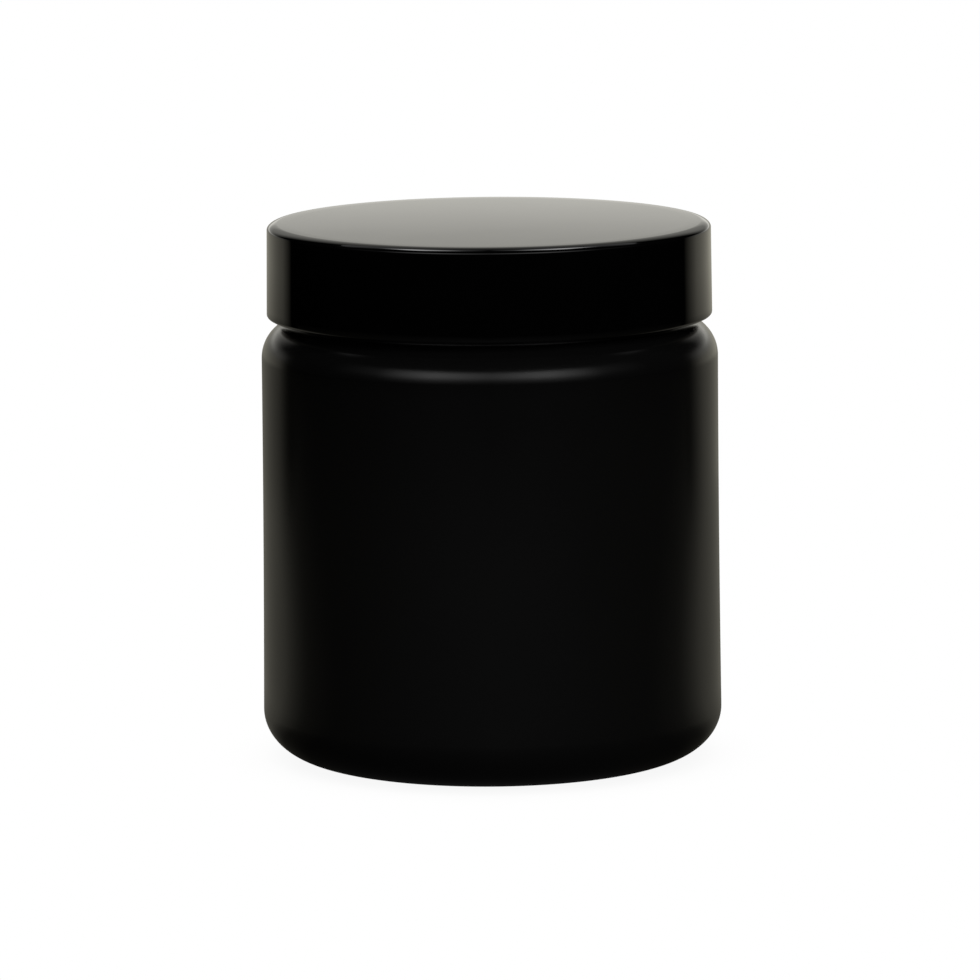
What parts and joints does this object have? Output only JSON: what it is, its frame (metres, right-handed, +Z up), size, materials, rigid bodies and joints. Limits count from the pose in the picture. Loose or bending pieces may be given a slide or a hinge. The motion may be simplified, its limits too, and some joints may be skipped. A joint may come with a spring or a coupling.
{
  "type": "screw-lidded candle jar",
  "caption": "Straight-sided matte black glass candle jar with a gloss black screw lid, a foam-lined lid top, and a wax candle with a braided wick inside.",
  "frame": {"origin": "middle of the jar's base, on the surface that it stands on", "axes": "+Z up along the jar's axis, towards the lid; the jar is round, so +X and +Y are free, and the neck's thread starts on +X"},
  "size_m": [0.0734, 0.0734, 0.086],
  "materials": {
    "jar": "matte black lacquer on the outside, glossy and dark inside",
    "lid": "smooth gloss black moulding",
    "lid_liner": "soft white foam with a smooth skin",
    "wax": "soft satin, slightly translucent",
    "wick": "waxed cotton braid",
    "sustainer": "tinned sheet steel",
    "sticker": "foam pad with adhesive on both faces"
  },
  "bodies": {
    "jar": {"jar": "jar", "wax_fill": "wax", "wick": "wick", "wick_sustainer": "sustainer", "wick_sticker": "sticker"},
    "liner": {"lid_liner": "lid_liner"},
    "lid": {"lid": "lid"}
  },
  "joints": [
    {"name": "lid_rise", "type": "slide", "parent": "jar", "child": "liner", "axis": [0, 0, 1], "range_m": [0, 0.04234]},
    {"name": "lid_turn", "type": "hinge", "parent": "liner", "child": "lid", "pos_m": [0, 0, 0.0786], "axis": [0, 0, 1], "range_deg": [0, 3600]}
  ],
  "couplings": [
    {"joint": "lid_rise", "follows": "lid_turn", "m_per_rad": 0.00067376}
  ]
}
